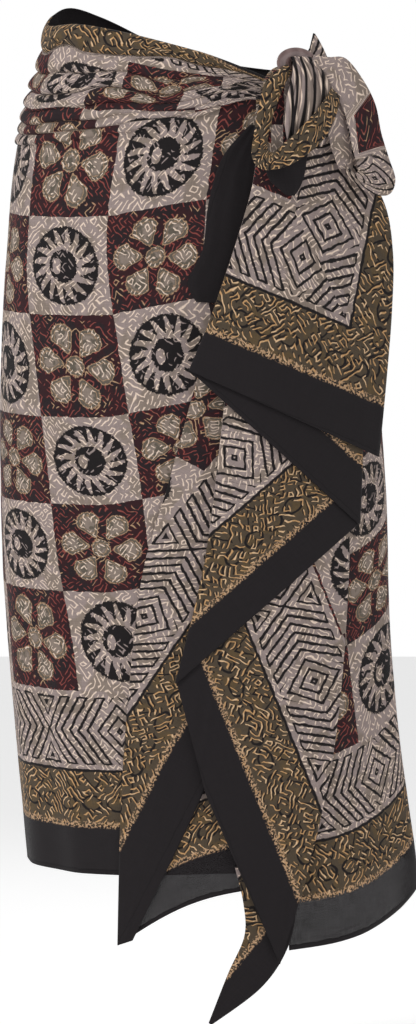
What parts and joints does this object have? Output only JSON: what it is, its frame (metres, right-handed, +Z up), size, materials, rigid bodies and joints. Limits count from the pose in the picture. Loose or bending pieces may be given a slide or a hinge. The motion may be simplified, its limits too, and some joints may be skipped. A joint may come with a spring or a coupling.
{
  "type": "wrap sarong",
  "caption": "Ankle-length wrap skirt of one batik-printed cotton cloth, worn form, both ends pulled through an oval ring on the hip into a bow and a falling zigzag cascade.",
  "frame": {"origin": "middle of the waist, where the wearer holds the cloth up", "axes": "+X to the right as seen from the front, -Y to the front, +Z up along the wearer"},
  "size_m": [0.4466, 0.3342, 1.077],
  "materials": {
    "printed_cotton": "matte printed cotton",
    "dark_cotton": "matte printed cotton",
    "border_cotton": "matte printed cotton",
    "black_cotton": "matte dyed cotton",
    "shell": "polished shell"
  },
  "bodies": {
    "root": {"front_panel": "printed_cotton", "back_panel": "printed_cotton", "hip_panel": "printed_cotton", "cascade": "border_cotton", "corner_fold": "dark_cotton", "waist_band_fall": "black_cotton", "lower_tip": "black_cotton", "waist_knot": "printed_cotton", "hip_ring": "shell", "bow_left_loop": "border_cotton", "bow_inner_loop": "dark_cotton", "bow_right_loop": "printed_cotton", "bow_back_strand": "printed_cotton", "bow_fan": "printed_cotton", "bow_tail": "black_cotton", "bow_tip": "printed_cotton"}
  },
  "joints": []
}
